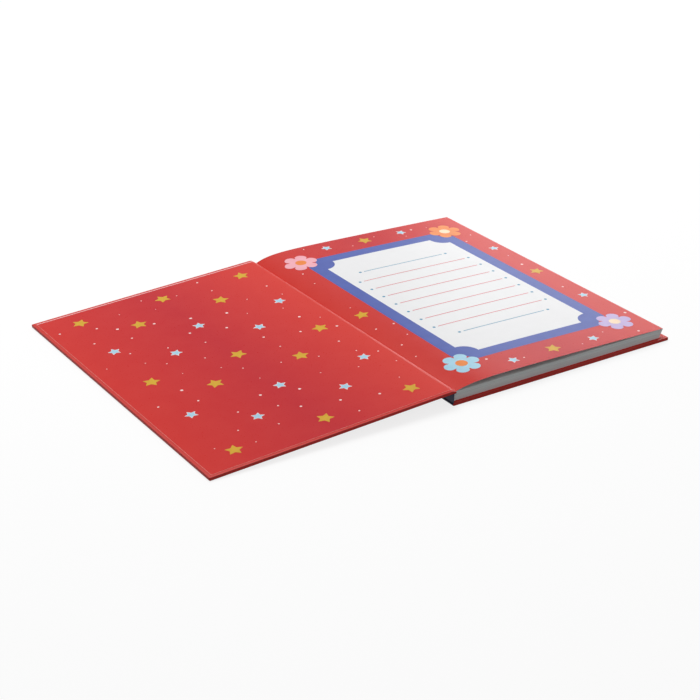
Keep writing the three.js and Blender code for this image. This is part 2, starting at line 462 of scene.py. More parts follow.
class Recipe:
    """A node tree in the making, with the steps that every finish shares."""

    def __init__(self, name: str) -> None:
        """Start a material with one Principled shader.

        Args:
            name: The material's name.
        """
        self.material = bpy.data.materials.new(name)
        self.material.use_nodes = True
        self.tree = self.material.node_tree
        self.shader = self.tree.nodes["Principled BSDF"]
        self.place = self.tree.nodes.new("ShaderNodeTexCoord").outputs["Object"]

    def node(self, kind: str, **inputs: object) -> bpy.types.Node:
        """Add a node and fill its sockets.

        Args:
            kind: The node's type.
            inputs: Values or sockets by input name, with _ for a space.

        Returns:
            The new node.
        """
        made = self.tree.nodes.new(kind)
        for key, value in inputs.items():
            self.wire(value, made.inputs[key.replace("_", " ")])
        return made

    def wire(self, value: object, socket: bpy.types.NodeSocket) -> None:
        """Link a socket to an input, or set the input to a plain value.

        Args:
            value: A socket or a plain value.
            socket: The input.
        """
        if isinstance(value, bpy.types.NodeSocket):
            self.tree.links.new(value, socket)
        else:
            socket.default_value = value

    def noise(self, scale: float, detail: float = 3.0, stretch: Vector | None = None) -> bpy.types.NodeSocket:
        """Make a noise pattern on the piece's own coordinates.

        Args:
            scale: The pattern's scale, in features a metre.
            detail: The number of finer layers.
            stretch: A factor on the coordinates along each axis.

        Returns:
            The noise value's socket.
        """
        place = self.place
        if stretch is not None:
            place = self.node("ShaderNodeMapping", Vector=place, Scale=stretch).outputs["Vector"]
        return self.node("ShaderNodeTexNoise", Vector=place, Scale=scale, Detail=detail).outputs["Fac"]

    def span(
        self,
        value: bpy.types.NodeSocket,
        low: float,
        high: float,
        start: float = 0.0,
        end: float = 1.0,
    ) -> bpy.types.NodeSocket:
        """Map a value onto another range.

        Args:
            value: The value's socket.
            low: The value that gives start.
            high: The value that gives end.
            start: The result at low.
            end: The result at high.

        Returns:
            The mapped value's socket.
        """
        made = self.node("ShaderNodeMapRange", Value=value)
        made.inputs["From Min"].default_value = low
        made.inputs["From Max"].default_value = high
        made.inputs["To Min"].default_value = start
        made.inputs["To Max"].default_value = end
        return made.outputs["Result"]

    def blend(
        self,
        share: bpy.types.NodeSocket,
        first: object,
        second: object,
        mode: str = "MIX",
    ) -> bpy.types.NodeSocket:
        """Mix two colours.

        Args:
            share: How much of the second colour.
            first: A colour or a socket.
            second: A colour or a socket.
            mode: The way the two are mixed.

        Returns:
            The mixed colour's socket.
        """
        made = self.tree.nodes.new("ShaderNodeMix")
        made.data_type = "RGBA"
        made.blend_type = mode
        for index, value in ((0, share), (6, first), (7, second)):
            self.wire(value, made.inputs[index])
        return made.outputs[2]

    def relief(self, height: bpy.types.NodeSocket, strength: float, depth: float) -> None:
        """Raise the surface by a height pattern.

        Args:
            height: The pattern's socket.
            strength: The bump's strength.
            depth: The pattern's depth in metres.
        """
        bump = self.node("ShaderNodeBump", Height=height, Strength=strength, Distance=depth)
        self.tree.links.new(bump.outputs["Normal"], self.shader.inputs["Normal"])

    def colour(self, value: object) -> None:
        """Set or link the base colour."""
        self.wire(value, self.shader.inputs["Base Color"])

    def gloss(self, rough: object, specular: float) -> None:
        """Set the roughness and the constant specular level.

        Args:
            rough: A roughness, or a socket that gives one.
            specular: The specular level.
        """
        self.wire(rough, self.shader.inputs["Roughness"])
        self.shader.inputs["Specular IOR Level"].default_value = specular


@dataclass(frozen=True)
class GradedPrint:
    """Coated paper or case wrap, printed red with a crimson middle.

    Attributes:
        name: The material's name.
        near: The print's colour at the gutter.
        middle: The colour half way across the page.
        far: The colour at the fore-edge.
        start: Where the gutter is, in metres across the book.
        end: Where the fore-edge is, in metres across the book.
        rough: The coating's roughness.
        specular: The coating's specular level.
    """

    name: str
    near: Colour
    middle: Colour
    far: Colour
    start: float
    end: float
    rough: float = 0.3
    specular: float = 0.1

    def make(self) -> bpy.types.Material:
        """Build the material."""
        recipe = Recipe(self.name)
        across = recipe.node("ShaderNodeSeparateXYZ", Vector=recipe.place).outputs["X"]
        share = recipe.span(across, self.start, self.end)
        ramp = recipe.node("ShaderNodeValToRGB", Fac=share)
        ramp.color_ramp.elements[0].color = self.near
        ramp.color_ramp.elements[1].color = self.far
        crest = ramp.color_ramp.elements.new(0.5)
        crest.color = self.middle
        mottle = recipe.span(recipe.noise(60.0, 4.0), 0.3, 0.7, 0.0, 0.05)
        printed = recipe.blend(mottle, ramp.outputs["Color"], tone(232, 96, 84))
        screen = recipe.span(recipe.noise(3500.0, 2.0), 0.35, 0.65, 0.0, 0.05)
        recipe.colour(recipe.blend(screen, printed, tone(120, 20, 26)))
        fibre = recipe.noise(900.0, 4.0)
        recipe.gloss(recipe.span(fibre, 0.3, 0.7, self.rough - 0.03, self.rough + 0.04), self.specular)
        recipe.relief(fibre, 0.08, 0.00004)
        return recipe.material


@dataclass(frozen=True)
class FlatInk:
    """One printed colour on coated paper.

    Attributes:
        name: The material's name.
        main: The ink's colour.
        shade: The colour that it varies towards.
        rough: The coating's roughness.
        specular: The coating's specular level.
    """

    name: str
    main: Colour
    shade: Colour
    rough: float = 0.32
    specular: float = 0.1

    def make(self) -> bpy.types.Material:
        """Build the material."""
        recipe = Recipe(self.name)
        wash = recipe.span(recipe.noise(120.0, 4.0), 0.35, 0.7, 0.0, 0.5)
        body = recipe.blend(wash, self.main, self.shade)
        screen = recipe.span(recipe.noise(3500.0, 2.0), 0.35, 0.65, 0.0, 0.18)
        recipe.colour(recipe.blend(screen, body, self.shade))
        coat = recipe.span(recipe.noise(900.0), 0.3, 0.7, self.rough - 0.03, self.rough + 0.04)
        recipe.gloss(coat, self.specular)
        recipe.relief(recipe.noise(900.0, 4.0), 0.08, 0.00004)
        return recipe.material


@dataclass(frozen=True)
class CutPages:
    """The guillotined edges of many sheets of paper.

    Attributes:
        name: The material's name.
        light: The colour of a sheet that catches the light.
        dark: The darker colour between two sheets, a painted shade.
    """

    name: str
    light: Colour = tone(238, 244, 244)
    dark: Colour = tone(212, 218, 218)

    def make(self) -> bpy.types.Material:
        """Build the material."""
        recipe = Recipe(self.name)
        leaves = recipe.noise(1.0, 2.0, Vector((25.0, 25.0, 7000.0)))
        sheets = recipe.blend(recipe.span(leaves, 0.35, 0.65), self.dark, self.light)
        groups = recipe.noise(1.0, 1.0, Vector((6.0, 6.0, 900.0)))
        grouped = recipe.blend(recipe.span(groups, 0.45, 0.75, 0.0, 0.35), sheets, tone(220, 226, 226))
        recipe.colour(grouped)
        recipe.gloss(recipe.span(leaves, 0.3, 0.7, 0.75, 0.92), 0.25)
        recipe.relief(leaves, 0.25, 0.00004)
        return recipe.material


@dataclass(frozen=True)
class PlainStock:
    """An unprinted sheet or board with visible fibre.

    Attributes:
        name: The material's name.
        main: The stock's colour.
        fleck: The colour of its flecks.
        grain: The size of the fibre, in features a metre.
        rough: The stock's roughness.
    """

    name: str
    main: Colour
    fleck: Colour
    grain: float = 1500.0
    rough: float = 0.85

    def make(self) -> bpy.types.Material:
        """Build the material."""
        recipe = Recipe(self.name)
        fibre = recipe.noise(self.grain, 6.0)
        recipe.colour(recipe.blend(recipe.span(fibre, 0.45, 0.7), self.main, self.fleck))
        recipe.gloss(recipe.span(fibre, 0.3, 0.7, self.rough - 0.08, self.rough), 0.2)
        recipe.relief(fibre, 0.3, 0.00005)
        return recipe.material


@dataclass(frozen=True)
class WovenCloth:
    """A plain weave for the bands and the gauze.

    Attributes:
        name: The material's name.
        thread: The colour of the raised threads.
        hollow: The darker colour between the threads, a painted shade.
        pitch: Threads a metre.
    """

    name: str
    thread: Colour
    hollow: Colour
    pitch: float = 2500.0

    def make(self) -> bpy.types.Material:
        """Build the material."""
        recipe = Recipe(self.name)
        weave = recipe.node("ShaderNodeMath")
        weave.operation = "MULTIPLY"
        for index, way in enumerate("YZ"):
            scale = self.pitch / 20.0
            threads = recipe.node("ShaderNodeTexWave", Vector=recipe.place, Scale=scale, Distortion=1.0)
            threads.bands_direction = way
            recipe.wire(threads.outputs["Fac"], weave.inputs[index])
        # The hollows between the threads are darker as painted shade.
        recipe.colour(recipe.blend(weave.outputs[0], self.hollow, self.thread))
        recipe.gloss(0.85, 0.15)
        recipe.relief(weave.outputs[0], 0.4, 0.0001)
        return recipe.material


@dataclass(frozen=True)
class CaseCloth:
    """The navy spine covering, a fine embossed linen grain.

    Attributes:
        name: The material's name.
        main: The covering's colour.
        worn: The colour of its scuffed high places.
    """

    name: str
    main: Colour
    worn: Colour

    def make(self) -> bpy.types.Material:
        """Build the material."""
        recipe = Recipe(self.name)
        grain = recipe.noise(1.0, 3.0, Vector((1800.0, 700.0, 1800.0)))
        rub = recipe.span(recipe.noise(90.0, 4.0), 0.5, 0.8, 0.0, 0.5)
        recipe.colour(recipe.blend(rub, self.main, self.worn))
        recipe.gloss(recipe.span(grain, 0.3, 0.7, 0.42, 0.55), 0.3)
        recipe.relief(grain, 0.25, 0.00006)
        return recipe.material


class Ink(Enum):
    """The printed colours of the endpapers."""

    GOLD = "gold"
    SKY = "sky"
    MILK = "milk"
    PANEL = "panel"
    BLUE = "blue"
    RULE = "rule"
    ROSE = "rose"
    ORANGE = "orange"
    LILAC = "lilac"
    PINK = "pink"
    CREAM = "cream"


class Finishes:
    """Every material of the book, made once."""

    def __init__(self) -> None:
        """Build all the materials."""
        red_near = tone(212, 44, 30)
        crimson = tone(190, 8, 26)
        red_far = tone(206, 30, 20)
        self.left_print = GradedPrint("left_endpaper", red_far, crimson, red_near, -0.208, 0.0).make()
        red_gutter = tone(203, 42, 30)
        self.right_print = GradedPrint("right_endpaper", red_gutter, crimson, red_far, 0.0, 0.207).make()
        case = tone(206, 58, 51)
        self.case_print = GradedPrint("case_print", case, tone(201, 51, 47), case, -0.21, 0.21, 0.4).make()
        # The darker red of the covers' rounded rims is painted shade.
        self.case_rim_painted_shade = PlainStock("case_rim_painted_shade", tone(156, 44, 42), tone(178, 66, 60), 1200.0, 0.62).make()
        # The lighter red on the endpapers' edges and edge strips is a painted highlight.
        self.painted_edge_highlight = PlainStock("painted_edge_highlight_print", tone(222, 100, 92), tone(236, 140, 132), 1200.0, 0.5).make()
        # Pale pink for a strip along the endpaper's head edge.
        self.pale_head_strip = PlainStock("pale_head_strip_paper", tone(236, 192, 192), tone(228, 168, 168), 1200.0, 0.5).make()
        self.pages = CutPages("page_edges").make()
        self.core = PlainStock("paper_core", tone(240, 214, 212), tone(226, 190, 188), rough=0.7).make()
        self.board = PlainStock("greyboard", tone(150, 142, 130), tone(112, 105, 96), 900.0).make()
        self.lining = PlainStock("lining_paper", tone(205, 192, 165), tone(176, 160, 130)).make()
        self.gauze = WovenCloth("gauze", tone(235, 232, 222), tone(150, 146, 136), 900.0).make()
        self.band = WovenCloth("band_cloth", tone(252, 250, 248), tone(226, 222, 220), 2500.0).make()
        self.navy = CaseCloth("navy_case", tone(44, 52, 78), tone(62, 70, 96)).make()
        self.inks = {
            Ink.GOLD: FlatInk("ink_gold", tone(214, 170, 40), tone(200, 150, 36)).make(),
            Ink.SKY: FlatInk("ink_sky", tone(172, 214, 232), tone(150, 196, 220)).make(),
            Ink.MILK: FlatInk("ink_milk", tone(246, 222, 220), tone(240, 200, 198)).make(),
            Ink.PANEL: FlatInk("ink_panel", tone(231, 231, 232), tone(227, 227, 228)).make(),
            Ink.BLUE: FlatInk("ink_blue", tone(78, 96, 172), tone(70, 86, 160)).make(),
            Ink.RULE: FlatInk("ink_rule", tone(60, 140, 176), tone(50, 124, 160)).make(),
            Ink.ROSE: FlatInk("ink_rose", tone(206, 84, 90), tone(196, 70, 80)).make(),
            Ink.ORANGE: FlatInk("ink_orange", tone(236, 140, 66), tone(226, 120, 52)).make(),
            Ink.LILAC: FlatInk("ink_lilac", tone(196, 178, 220), tone(180, 160, 208)).make(),
            Ink.PINK: FlatInk("ink_pink", tone(240, 176, 186), tone(232, 156, 170)).make(),
            Ink.CREAM: FlatInk("ink_cream", tone(244, 222, 190), tone(238, 208, 170)).make(),
        }


@dataclass(frozen=True)
class Motif:
    """One small printed shape and its place on a page.

    Attributes:
        across: Distance from the gutter in millimetres.
        along: Distance from the page's middle towards the head.
        size: Its radius in millimetres.
        turn: Its rotation in degrees.
    """

    across: float
    along: float
    size: float
    turn: float = 0.0


@dataclass
class OpenFrontCover:
    """The front cover, swung over and sloping to the surface on its fore-edge.

    Attributes:
        hinge_height: Height of the joint's axis.
        slope: The cover's slope in degrees.
        reach: From the axis to the fore-edge.
        half_thickness: Half of the whole cover's thickness.
        endpaper_reach: From the axis to the endpaper's fore-edge.
        nose_start: Where the rounded spine edge begins on the outer face.
        nose_end: Where the rounded spine edge ends on the inner face.
    """

    hinge_height: float = 11.65
    slope: float = 2.8120
    reach: float = 211.0
    half_thickness: float = 1.3
    endpaper_reach: float = 208.0
    nose_start: float = 0.5
    nose_end: float = 4.7

    def lay(self, piece: bpy.types.Object) -> None:
        """Slope a flat piece down from the joint's axis, where it belongs."""
        Bench.settle(piece, spot(ROW_SHIFT, 0.0, self.hinge_height), (0.0, -math.radians(self.slope), 0.0))

    def nose(self, inset: float, steps: int) -> list[Vector]:
        """Give the rounded spine edge, from the inner face to the outer one.

        Args:
            inset: Distance inside the endpaper's surface.
            steps: Number of segments.

        Returns:
            Points of the curve in the cover's flat frame.
        """
        wide = self.nose_end - self.nose_start - inset
        tall = 2 * self.half_thickness - inset
        curve = []
        for step in range(steps + 1):
            angle = math.pi / 2 * (1 - step / steps)
            across = self.nose_end - wide * math.cos(angle)
            curve.append(spot(-across, 0.0, -self.half_thickness + tall * math.sin(angle)))
        return curve

    def wrap(self, finishes: Finishes) -> bpy.types.Object:
        """Model the printed wrap: a tray with turned-in edges round the board.

        Args:
            finishes: The book's materials.

        Returns:
            The finished piece.
        """
        tail = spot(0.0, -COVER_HALF, 0.0)
        shelf = self.half_thickness - 0.2
        outline = [spot(-self.reach, 0.0, -self.half_thickness), spot(-self.reach, 0.0, shelf)]
        outline += self.nose(0.2, 12)
        piece = Bench.prism("front_wrap_shell", [point + tail for point in outline], 2 * COVER_HALF)
        corner = 0.001 - self.reach * MM
        ends = COVER_HALF * MM - 1e-6
        Bench.round_edges(
            piece,
            lambda a, b: a.x < corner and b.x < corner and abs(a.y - b.y) < 1e-6,
            CORNER_ROUND,
            4,
        )
        Bench.round_edges(piece, lambda a, b: self.on_rim(a, b, ends), EDGE_ROUND, 3)
        Bench.open(piece)
        inner = (COVER_HALF - TURN_IN) * MM
        fore = (TURN_IN - self.reach) * MM
        Bench.cut([Vector((0.0, inner, 0.0)), Vector((0.0, -inner, 0.0))], Vector((0.0, 1.0, 0.0)))
        Bench.cut([Vector((fore, 0.0, 0.0))], Vector((1.0, 0.0, 0.0)))
        Bench.close()
        Bench.pick_faces(
            piece,
            lambda middle, normal: normal.z > 0.05 and abs(middle.y) < inner and middle.x > fore,
        )
        bpy.ops.mesh.delete(type="FACE")
        Bench.close()
        Bench.modify(piece, "SOLIDIFY", thickness=WRAP_SHEET * MM, offset=-1.0, use_even_offset=True)
        Bench.dress(piece, finishes.case_print, finishes.case_rim_painted_shade)
        # The rounded rim faces on the inner side get the darker red of painted shade.
        folded = (self.half_thickness - 0.8) * MM
        limit = (1.0 - self.reach) * MM
        Bench.paint(
            piece,
            1,
            lambda middle, normal: 0.2 < normal.z < 0.97
            and middle.z > folded
            and (abs(middle.y) > ends - 0.001 or middle.x < limit),
        )
        self.lay(piece)
        Bench.soften(piece, 40.0)
        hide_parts("front_wrap")
        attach(piece, "front_cover")
        return piece

    def on_rim(self, start: Vector, end: Vector, ends: float) -> bool:
        """Tell whether an edge runs along the cover's rim.

        Args:
            start: One end of the edge.
            end: Its other end.
            ends: Just under half of the cover's height, in metres.

        Returns:
            True for an edge round the inner or the outer face.
        """
        level = abs(start.z - end.z) < 1e-6
        outer = level and abs(abs(start.z) - self.half_thickness * MM) < 0.0003
        corner = 0.0013 - self.reach * MM
        fore = start.x < corner and end.x < corner and outer
        side = abs(start.y) > ends and abs(end.y) > ends and start.y * end.y > 0
        return fore or side

    def endpaper(self, finishes: Finishes) -> bpy.types.Object:
        """Model the pasted endpaper, over the rounded spine edge and into the gutter.

        Args:
            finishes: The book's materials.

        Returns:
            The finished piece.
        """
        lip = self.endpaper_reach - 0.4
        reaches = (self.endpaper_reach, lip, 190.0, 150.0, 100.0, 60.0, 30.0, 12.0)
        flat = [spot(-across, 0.0, self.half_thickness) for across in reaches]
        curve = self.nose(0.0, 22)[:-3]
        gutter = [spot(x, 0.0, z) for x, z in ((-0.5, -1.14), (-0.12, -1.34), (0.3, -1.44), (0.95, -1.46))]
        points = [point + spot(0.0, -PAGE_HALF, 0.0) for point in flat + curve + gutter]
        piece = Bench.chain("front_pastedown_sheet", points)
        inner = [-148.1, -120.0, -80.0, -40.0, 0.0, 40.0, 80.0, 120.0, 147.5]
        stops = [-PAGE_HALF] + inner + [PAGE_HALF]
        Bench.pull(piece, [spot(0.0, after - before, 0.0) for before, after in zip(stops, stops[1:])])
        Bench.tidy_normals()
        Bench.close()
        Bench.face_up(piece)
        Bench.modify(piece, "SOLIDIFY", thickness=PASTED_SHEET * MM, offset=-1.0, use_even_offset=True)
        Bench.dress(piece, finishes.left_print, finishes.core, finishes.pale_head_strip, finishes.painted_edge_highlight)
        Bench.paint(piece, 1, lambda middle, normal: normal.z < -0.3)
        # A 1 mm strip along the head edge of the top face is painted pale pink.
        Bench.paint(piece, 2, lambda middle, normal: middle.y > 0.1475 and normal.z > -0.3)
        # The strips along the tail and the fore-edge get the lighter red of a painted highlight.
        Bench.paint(
            piece,
            3,
            lambda middle, normal: (middle.y < -0.1481 or middle.x < -0.2076) and normal.z > -0.3,
        )
        self.lay(piece)
        Bench.soften(piece, 50.0)
        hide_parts("front_pastedown")
        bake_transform(piece)
        return piece


@dataclass
class PageBlock:
    """The pages, glued at the back, with the arched first leaf on them.

    Attributes:
        floor: Height of the lowest page.
        top: Height of the highest page.
        width: The lowest page's width.
        lean: How much further the highest page reaches.
        shoulder: Radius of the top edge at the back.
        leaf_base: Height of the first leaf's glued edge.
        leaf_thickness: Thickness of a leaf.
        tail_rise: The arch's rise at the tail.
        head_rise: The arch's rise at the head.
        tail_spring: How soon the arch rises at the tail.
        head_spring: How soon it rises at the head.
        fall: The power of the arch's fall to the fore-edge.
        levels: Rows of sheets on the page edges.
        ridge: How far every other row stands back.
        dent: How much further back a folded section's row stands.
    """

    floor: float = 2.85
    top: float = 10.0
    width: float = 203.0
    lean: float = 3.7
    shoulder: float = 1.2
    leaf_base: float = 10.1
    leaf_thickness: float = 0.15
    tail_rise: float = 4.65
    head_rise: float = 5.8
    tail_spring: float = 16.0
    head_spring: float = 13.0
    fall: float = 1.3
    levels: int = 26
    ridge: float = 0.03
    dent: float = 0.05

    def columns(self) -> list[float]:
        """Give the places across the first leaf where its arch has a row of vertices."""
        close = [1.0 + 1.0 * step for step in range(14)]
        middle = [15.0 + 2.5 * step for step in range(15)]
        wide = [52.5 + 6.0 * step for step in range(25)]
        return close + middle + wide + [202.0, 206.7]

    def arch(self, across: float, share: float) -> float:
        """Give the first leaf's height above the page below.

        Args:
            across: Distance from the drawing's origin.
            share: 0 at the tail, 1 at the head.

        Returns:
            The height of its lower face in millimetres.
        """
        rise = self.tail_rise + (self.head_rise - self.tail_rise) * share
        spring = self.tail_spring + (self.head_spring - self.tail_spring) * share
        along = min(max((across - 1.0) / 205.7, 0.0), 1.0)
        return self.leaf_base + rise * (1 - math.exp((1 - across) / spring)) * (1 - along**self.fall)

    def rim(self, share: float) -> list[Vector]:
        """Draw the first leaf's upper edge at the head or at the tail.

        Args:
            share: 0 at the tail, 1 at the head.

        Returns:
            The edge's points.
        """
        side = -PAGE_HALF + 2 * PAGE_HALF * share
        lift = self.leaf_thickness
        return [spot(x + ROW_SHIFT, side, self.arch(x, share) + lift) for x in self.columns()]

    def leaf(self, finishes: Finishes) -> bpy.types.Object:
        """Model the arched first leaf by bridging its two edges.

        Args:
            finishes: The book's materials.

        Returns:
            The finished piece.
        """
        tail = Bench.chain("front_leaf", self.rim(0.0))
        Bench.close()
        head = Bench.chain("front_leaf_head", self.rim(1.0))
        Bench.close()
        piece = Bench.gather("front_leaf", [tail, head])
        Bench.open(piece, "EDGE")
        bpy.ops.mesh.select_all(action="SELECT")
        bpy.ops.mesh.bridge_edge_loops(number_cuts=29, interpolation="LINEAR")
        Bench.close()
        Bench.face_up(piece)
        surface = Bench.twin(piece, "leaf_surface")
        Bench.modify(piece, "SOLIDIFY", thickness=self.leaf_thickness * MM, offset=-1.0)
        Bench.dress(piece, finishes.right_print, finishes.core)
        rim = PAGE_HALF * MM - 1e-5
        Bench.paint(piece, 1, lambda middle, normal: abs(middle.y) > rim or normal.z < 0 or normal.x > 0.7)
        Bench.soften(piece, 50.0)
        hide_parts("front_flyleaf")
        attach(piece, "book_block")
        self.press(piece)
        self.surface = surface
        return piece

    @staticmethod
    def press(piece: bpy.types.Object) -> None:
        """Give a piece of the first leaf a mesh of its own."""
        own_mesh(piece)

    def block(self, finishes: Finishes) -> bpy.types.Object:
        """Model the pages, with the ridges of single leaves and folded sections.

        Args:
            finishes: The book's materials.

        Returns:
            The finished piece.
        """
        tall = self.top - self.floor
        points = [spot(ROW_SHIFT, 0.0, self.floor)]
        for level in range(self.levels + 1):
            share = level / self.levels
            ridge = self.ridge if level % 2 else 0.0
            dent = self.dent if level % 8 == 4 else 0.0
            across = self.width + self.lean * share - ridge - dent
            points.append(spot(across + ROW_SHIFT, 0.0, self.floor + tall * share))
        for step in range(7):
            angle = math.pi / 2 * step / 6
            across = self.shoulder * (1 - math.sin(angle))
            height = self.top - self.shoulder * (1 - math.cos(angle))
            points.append(spot(across + ROW_SHIFT, 0.0, height))
        piece = Bench.outline("page_block", [point + spot(0.0, -PAGE_HALF, 0.0) for point in points])
        stops = [-PAGE_HALF + 2 * PAGE_HALF * step / 6 for step in range(7)]
        Bench.pull(piece, [spot(0.0, after - before, 0.0) for before, after in zip(stops, stops[1:])])
        heights = [self.floor + tall * level / self.levels for level in range(1, self.levels)]
        Bench.cut([spot(0.0, 0.0, height) for height in heights], Vector((0.0, 0.0, 1.0)))
        Bench.tidy_normals()
        Bench.close()
        rim = PAGE_HALF * MM - 1e-5
        for way in (-1.0, 1.0):
            odd = range(1, self.levels, 2)
            chosen = {round((self.floor + tall * level / self.levels) * 1000) for level in odd}
            Bench.pick_vertices(
                piece,
                lambda place: place.y * way > rim and round(place.z * 1000000) in chosen,
            )
            bpy.ops.transform.translate(value=(0.0, -self.ridge * MM * way, 0.0))
            Bench.close()
        Bench.dress(piece, finishes.pages)
        Bench.soften(piece, 20.0)
        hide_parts("text_block")
        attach(piece, "book_block")
        return piece


@dataclass
class PageBands:
    """The woven bands at the head and tail of the back.

    Attributes:
        bead: The bead's radius.
        centre: Where the bead's middle is across the book.
        low: Height of its lower end.
        high: Height of its upper end.
        side: How far it is from the page's middle.
    """

    bead: float = 0.6
    centre: float = -0.65
    low: float = 2.85
    high: float = 9.7
    side: float = 148.7

    def band(self, name: str, node: str, way: float, finishes: Finishes) -> bpy.types.Object:
        """Model one band: a ridged bead with its tape behind.

        Args:
            name: The piece's name.
            node: The CAD node that it stands for.
            way: 1 at the head, -1 at the tail.
            finishes: The book's materials.

        Returns:
            The finished piece.
        """
        Bench.clear()
        turns = 22
        tall = (self.high - self.low) / (2 * turns)
        place = spot(self.centre + ROW_SHIFT, self.side * way, self.low)
        bpy.ops.mesh.primitive_circle_add(vertices=14, radius=self.bead * MM * 0.86, location=place)
        piece = bpy.context.object
        piece.name = name
        piece.data.name = name
        Bench.open(piece)
        bpy.ops.mesh.select_all(action="SELECT")
        bpy.ops.mesh.edge_face_add()
        for turn in range(2 * turns):
            bpy.ops.mesh.extrude_region_move(TRANSFORM_OT_translate={"value": spot(0.0, 0.0, tall)})
            middle = place + spot(0.0, 0.0, tall * (turn + 1))
            scale = 1 / 0.86 if turn % 2 == 0 else 0.86
            bpy.ops.transform.resize(value=(scale, scale, 1.0), center_override=middle)
        Bench.tidy_normals()
        Bench.close()
        Bench.settle(piece)
        inner = way * 138.5
        outer = way * PAGE_HALF
        near = ROW_SHIFT - 0.05
        far = ROW_SHIFT - 0.35
        corners = [(near, self.low), (far, self.low), (far, self.high), (near, self.high)]
        tape = Bench.prism(name + "_tape", [spot(x, outer, z) for x, z in corners], inner - outer)
        Bench.dress(piece, finishes.band)
        Bench.dress(tape, finishes.band)
        whole = Bench.gather(name, [piece, tape])
        Bench.soften(whole, 60.0)
        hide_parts(node)
        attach(whole, "book_block")
        return whole


@dataclass
class SpinePanel:
    """The navy spine: a covered card, with the strips that run into both joints.

    Attributes:
        face: Where the spine's outer face is.
        back: Where its inner face is.
        low: Its lower edge.
        high: Its upper edge.
        edge_round: Radius of the covering over the card's edge.
    """

    face: float = -3.95
    back: float = -2.95
    low: float = 2.7
    high: float = 9.856
    edge_round: float = 0.4

    def panel(self, finishes: Finishes) -> bpy.types.Object:
        """Model the covered card and its two joint strips.

        Args:
            finishes: The book's materials.

        Returns:
            The finished piece.
        """
        tail = spot(ROW_SHIFT, -COVER_HALF, 0.0)
        corners = [
            spot(self.face, 0.0, self.low),
            spot(self.face, 0.0, self.high),
            spot(self.back, 0.0, self.high + 0.08),
            spot(self.back, 0.0, self.low),
        ]
        piece = Bench.prism("spine_cover", [corner + tail for corner in corners], 2 * COVER_HALF)
        Bench.round_edges(piece, lambda a, b: True, self.edge_round, 3)
        upper = self.strip(
            "spine_upper_strip",
            [(-3.6, 9.79), (-2.6, 9.88), (-1.2, 10.0), (0.0, 10.15), (0.9, 10.22)],
        )
        lower = self.strip("spine_lower_strip", [(-3.6, 2.84), (-2.0, 2.84), (0.9, 2.84)])
        whole = Bench.gather("spine_cover", [piece, upper, lower])
        Bench.dress(whole, finishes.navy)
        Bench.soften(whole, 45.0)
        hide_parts("spine_wrap")
        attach(whole, "book_block")
        return whole

    def strip(self, name: str, profile: Sequence[tuple[float, float]]) -> bpy.types.Object:
        """Model one strip of the covering that runs from the spine to the pages.

        Args:
            name: The strip's name.
            profile: Its upper face, as places across and heights.

        Returns:
            The strip.
        """
        points = [spot(x + ROW_SHIFT, -PAGE_HALF, z) for x, z in profile]
        return Bench.sheet(name, points, [-PAGE_HALF, PAGE_HALF], 0.12)

    def joint(self, finishes: Finishes) -> bpy.types.Object:
        """Model the covering's fold in the front joint.

        Args:
            finishes: The book's materials.

        Returns:
            The finished piece.
        """
        half = 151.4
        fixed = [(-3.6, 9.9), (-3.2, 9.935)]
        turning = [(-0.7, 10.29), (-1.1, 10.272), (-1.54, 10.25), (-2.6, 10.2), (-4.03, 10.126)]
        piece = Bench.chain("front_joint_fold", [spot(x, -half, z) for x, z in fixed + turning])
        Bench.pull(piece, [spot(0.0, half / 2, 0.0)] * 4)
        Bench.close()
        Bench.modify(piece, "SOLIDIFY", thickness=0.04 * MM, offset=0.0)
        Bench.dress(piece, finishes.navy)
        Bench.soften(piece, 60.0)
        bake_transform(piece)
        return piece


